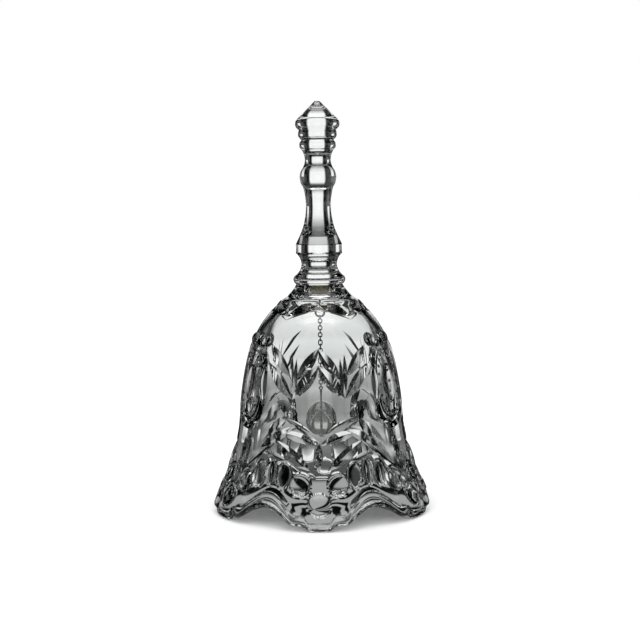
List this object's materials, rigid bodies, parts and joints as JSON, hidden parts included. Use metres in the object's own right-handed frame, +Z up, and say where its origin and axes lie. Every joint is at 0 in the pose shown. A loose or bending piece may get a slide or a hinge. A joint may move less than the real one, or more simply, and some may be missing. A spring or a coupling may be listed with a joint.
{
  "type": "glass bell",
  "caption": "Tall cut-crystal table bell with a turned glass handle, a lobed rim and a round glass clapper bead on a fine chain.",
  "frame": {"origin": "on the axis of the bell, in the plane of the rim tips that it stands on", "axes": "+Z up along the axis to the tip of the handle, -Y is the front, where one lobe of the rim points"},
  "size_m": [0.0846, 0.0872, 0.1563],
  "materials": {
    "crystal": "clear polished lead crystal",
    "bead_glass": "clear polished glass",
    "plug": "cork set in clear cement",
    "wire": "nickel-plated wire, a little tarnished"
  },
  "bodies": {
    "bell": {"glass_bell": "crystal", "neck_plug": "plug", "clapper_eye": "wire"},
    "link_01": {"chain_link_01": "wire"},
    "link_02": {"chain_link_02": "wire"},
    "link_03": {"chain_link_03": "wire"},
    "link_04": {"chain_link_04": "wire"},
    "link_05": {"chain_link_05": "wire"},
    "link_06": {"chain_link_06": "wire"},
    "link_07": {"chain_link_07": "wire"},
    "link_08": {"chain_link_08": "wire"},
    "link_09": {"chain_link_09": "wire"},
    "link_10": {"chain_link_10": "wire"},
    "link_11": {"chain_link_11": "wire"},
    "link_12": {"chain_link_12": "wire"},
    "link_13": {"chain_link_13": "wire"},
    "link_14": {"chain_link_14": "wire"},
    "link_15": {"chain_link_15": "wire"},
    "link_16": {"chain_link_16": "wire"},
    "link_17": {"chain_link_17": "wire"},
    "link_18": {"chain_link_18": "wire"},
    "link_19": {"chain_link_19": "wire"},
    "clapper": {"clapper_pin": "wire", "clapper_bead": "bead_glass"}
  },
  "joints": [
    {"name": "link_01_swing", "type": "hinge", "parent": "bell", "child": "link_01", "pos_m": [0, 0, 0.0735], "axis": [1, 0, 0], "range_deg": [-25, 25]},
    {"name": "link_02_swing", "type": "hinge", "parent": "link_01", "child": "link_02", "pos_m": [0, 0, 0.07219], "axis": [0, 1, 0], "range_deg": [-25, 25]},
    {"name": "link_03_swing", "type": "hinge", "parent": "link_02", "child": "link_03", "pos_m": [0, 0, 0.07069], "axis": [-1, 0, 0], "range_deg": [-25, 25]},
    {"name": "link_04_swing", "type": "hinge", "parent": "link_03", "child": "link_04", "pos_m": [0, 0, 0.06919], "axis": [0, -1, 0], "range_deg": [-25, 25]},
    {"name": "link_05_swing", "type": "hinge", "parent": "link_04", "child": "link_05", "pos_m": [0, 0, 0.06769], "axis": [1, 0, 0], "range_deg": [-25, 25]},
    {"name": "link_06_swing", "type": "hinge", "parent": "link_05", "child": "link_06", "pos_m": [0, 0, 0.06619], "axis": [0, 1, 0], "range_deg": [-25, 25]},
    {"name": "link_07_swing", "type": "hinge", "parent": "link_06", "child": "link_07", "pos_m": [0, 0, 0.06469], "axis": [-1, 0, 0], "range_deg": [-25, 25]},
    {"name": "link_08_swing", "type": "hinge", "parent": "link_07", "child": "link_08", "pos_m": [0, 0, 0.06319], "axis": [0, -1, 0], "range_deg": [-25, 25]},
    {"name": "link_09_swing", "type": "hinge", "parent": "link_08", "child": "link_09", "pos_m": [0, 0, 0.06169], "axis": [1, 0, 0], "range_deg": [-25, 25]},
    {"name": "link_10_swing", "type": "hinge", "parent": "link_09", "child": "link_10", "pos_m": [0, 0, 0.06019], "axis": [0, 1, 0], "range_deg": [-25, 25]},
    {"name": "link_11_swing", "type": "hinge", "parent": "link_10", "child": "link_11", "pos_m": [0, 0, 0.05869], "axis": [-1, 0, 0], "range_deg": [-25, 25]},
    {"name": "link_12_swing", "type": "hinge", "parent": "link_11", "child": "link_12", "pos_m": [0, 0, 0.05719], "axis": [0, -1, 0], "range_deg": [-25, 25]},
    {"name": "link_13_swing", "type": "hinge", "parent": "link_12", "child": "link_13", "pos_m": [0, 0, 0.05569], "axis": [1, 0, 0], "range_deg": [-25, 25]},
    {"name": "link_14_swing", "type": "hinge", "parent": "link_13", "child": "link_14", "pos_m": [0, 0, 0.05419], "axis": [0, 1, 0], "range_deg": [-25, 25]},
    {"name": "link_15_swing", "type": "hinge", "parent": "link_14", "child": "link_15", "pos_m": [0, 0, 0.05269], "axis": [-1, 0, 0], "range_deg": [-25, 25]},
    {"name": "link_16_swing", "type": "hinge", "parent": "link_15", "child": "link_16", "pos_m": [0, 0, 0.05119], "axis": [0, -1, 0], "range_deg": [-25, 25]},
    {"name": "link_17_swing", "type": "hinge", "parent": "link_16", "child": "link_17", "pos_m": [0, 0, 0.04969], "axis": [1, 0, 0], "range_deg": [-25, 25]},
    {"name": "link_18_swing", "type": "hinge", "parent": "link_17", "child": "link_18", "pos_m": [0, 0, 0.04819], "axis": [0, 1, 0], "range_deg": [-25, 25]},
    {"name": "link_19_swing", "type": "hinge", "parent": "link_18", "child": "link_19", "pos_m": [0, 0, 0.04669], "axis": [-1, 0, 0], "range_deg": [-25, 25]},
    {"name": "clapper_swing", "type": "hinge", "parent": "link_19", "child": "clapper", "pos_m": [0, 0, 0.04519], "axis": [0, -1, 0], "range_deg": [-25, 25]}
  ]
}
